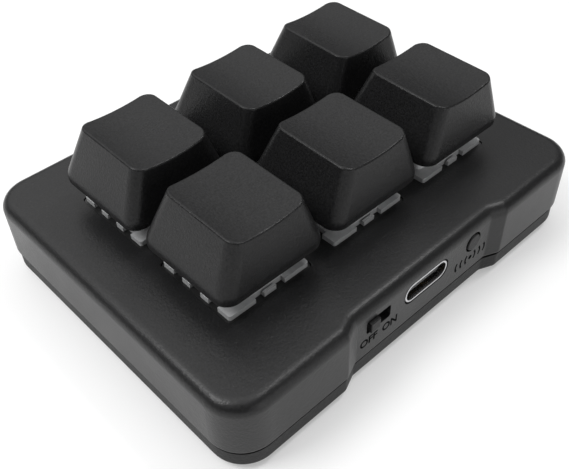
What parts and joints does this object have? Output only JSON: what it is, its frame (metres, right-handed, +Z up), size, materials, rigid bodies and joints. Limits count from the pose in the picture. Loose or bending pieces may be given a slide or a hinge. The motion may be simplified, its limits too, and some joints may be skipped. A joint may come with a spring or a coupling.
{
  "type": "macro keypad",
  "caption": "Wireless desk macro keypad: blank sprung keycaps on mechanical switches in a rounded two-part black case with a USB-C socket, slide power switch and pairing button",
  "frame": {"origin": "on the desk plane, under the middle of the case; the undersides of the rubber feet lie on z = 0", "axes": "+X along the long side of the case, from the plain end beside the first keys; the connector side faces -Y and +Y points to the other long side; +Z up out of the keys"},
  "size_m": [0.0718, 0.0572, 0.0273],
  "materials": {
    "case_plastic": "fine-grained moulded black plastic",
    "cover_plastic": "moulded black plastic with a coarser, duller grain",
    "keycap_plastic": "fine-grained moulded black plastic, slightly smoother",
    "housing_grey": "smooth pale grey plastic, slightly milky",
    "housing_black": "smooth black plastic",
    "stem_plastic": "slick red plastic",
    "spring_steel": "bright drawn wire",
    "contact_metal": "gold-plated copper alloy",
    "usb_steel": "bright nickel-plated steel",
    "socket_plastic": "black moulded plastic",
    "knob_plastic": "satin black plastic",
    "tinned_metal": "tin-plated metal",
    "board_laminate": "solder-masked glass laminate",
    "ceramic_chip": "tan ceramic",
    "screw_steel": "black oxide steel",
    "foot_rubber": "matte black rubber",
    "cell_foil": "laminated foil pouch",
    "foam_tape": "double-sided foam tape",
    "lead_black": "soft insulation",
    "lead_red": "soft insulation"
  },
  "bodies": {
    "base": {"battery": "cell_foil", "battery_lead_black": "lead_black", "battery_lead_red": "lead_red", "battery_tape": "foam_tape", "bottom_cover": "cover_plastic", "capacitors": "ceramic_chip", "case_screws": "screw_steel", "charger_chip": "socket_plastic", "circuit_board": "board_laminate", "contact_leaves": "contact_metal", "controller_chip": "socket_plastic", "crystal": "tinned_metal", "fixed_contacts": "contact_metal", "key_diodes": "socket_plastic", "lower_housing_1": "housing_black", "lower_housing_2": "housing_black", "lower_housing_3": "housing_black", "lower_housing_4": "housing_black", "lower_housing_5": "housing_black", "lower_housing_6": "housing_black", "power_switch_base": "socket_plastic", "power_switch_frame": "usb_steel", "power_switch_pins": "tinned_metal", "resistors": "ceramic_chip", "rubber_feet": "foot_rubber", "switch_spring_1": "spring_steel", "switch_spring_2": "spring_steel", "switch_spring_3": "spring_steel", "switch_spring_4": "spring_steel", "switch_spring_5": "spring_steel", "switch_spring_6": "spring_steel", "tact_switch_body": "housing_black", "tact_switch_legs": "tinned_metal", "top_case": "case_plastic", "upper_housing_1": "housing_grey", "upper_housing_2": "housing_grey", "upper_housing_3": "housing_grey", "upper_housing_4": "housing_grey", "upper_housing_5": "housing_grey", "upper_housing_6": "housing_grey", "usb_contacts": "contact_metal", "usb_shell": "usb_steel", "usb_tongue": "socket_plastic"},
    "key_1": {"keycap_1": "keycap_plastic", "switch_stem_1": "stem_plastic"},
    "key_2": {"keycap_2": "keycap_plastic", "switch_stem_2": "stem_plastic"},
    "key_3": {"keycap_3": "keycap_plastic", "switch_stem_3": "stem_plastic"},
    "key_4": {"keycap_4": "keycap_plastic", "switch_stem_4": "stem_plastic"},
    "key_5": {"keycap_5": "keycap_plastic", "switch_stem_5": "stem_plastic"},
    "key_6": {"keycap_6": "keycap_plastic", "switch_stem_6": "stem_plastic"},
    "power_knob": {"power_switch_knob": "knob_plastic"},
    "pairing_button": {"connect_button": "knob_plastic", "tact_plunger": "knob_plastic"}
  },
  "joints": [
    {"name": "key_1_press", "type": "slide", "parent": "base", "child": "key_1", "axis": [0, 0, -1], "range_m": [0, 0.004], "stiffness_N_per_m": 120, "springref_m": -0.003, "deforming": ["switch_spring_1"]},
    {"name": "key_2_press", "type": "slide", "parent": "base", "child": "key_2", "axis": [0, 0, -1], "range_m": [0, 0.004], "stiffness_N_per_m": 120, "springref_m": -0.003, "deforming": ["switch_spring_2"]},
    {"name": "key_3_press", "type": "slide", "parent": "base", "child": "key_3", "axis": [0, 0, -1], "range_m": [0, 0.004], "stiffness_N_per_m": 120, "springref_m": -0.003, "deforming": ["switch_spring_3"]},
    {"name": "key_4_press", "type": "slide", "parent": "base", "child": "key_4", "axis": [0, 0, -1], "range_m": [0, 0.004], "stiffness_N_per_m": 120, "springref_m": -0.003, "deforming": ["switch_spring_4"]},
    {"name": "key_5_press", "type": "slide", "parent": "base", "child": "key_5", "axis": [0, 0, -1], "range_m": [0, 0.004], "stiffness_N_per_m": 120, "springref_m": -0.003, "deforming": ["switch_spring_5"]},
    {"name": "key_6_press", "type": "slide", "parent": "base", "child": "key_6", "axis": [0, 0, -1], "range_m": [0, 0.004], "stiffness_N_per_m": 120, "springref_m": -0.003, "deforming": ["switch_spring_6"]},
    {"name": "power_slide", "type": "slide", "parent": "base", "child": "power_knob", "axis": [1, 0, 0], "range_m": [0, 0.002]},
    {"name": "pairing_press", "type": "slide", "parent": "base", "child": "pairing_button", "axis": [0, 1, 0], "range_m": [0, 0.0004], "stiffness_N_per_m": 600, "springref_m": -0.0015}
  ]
}
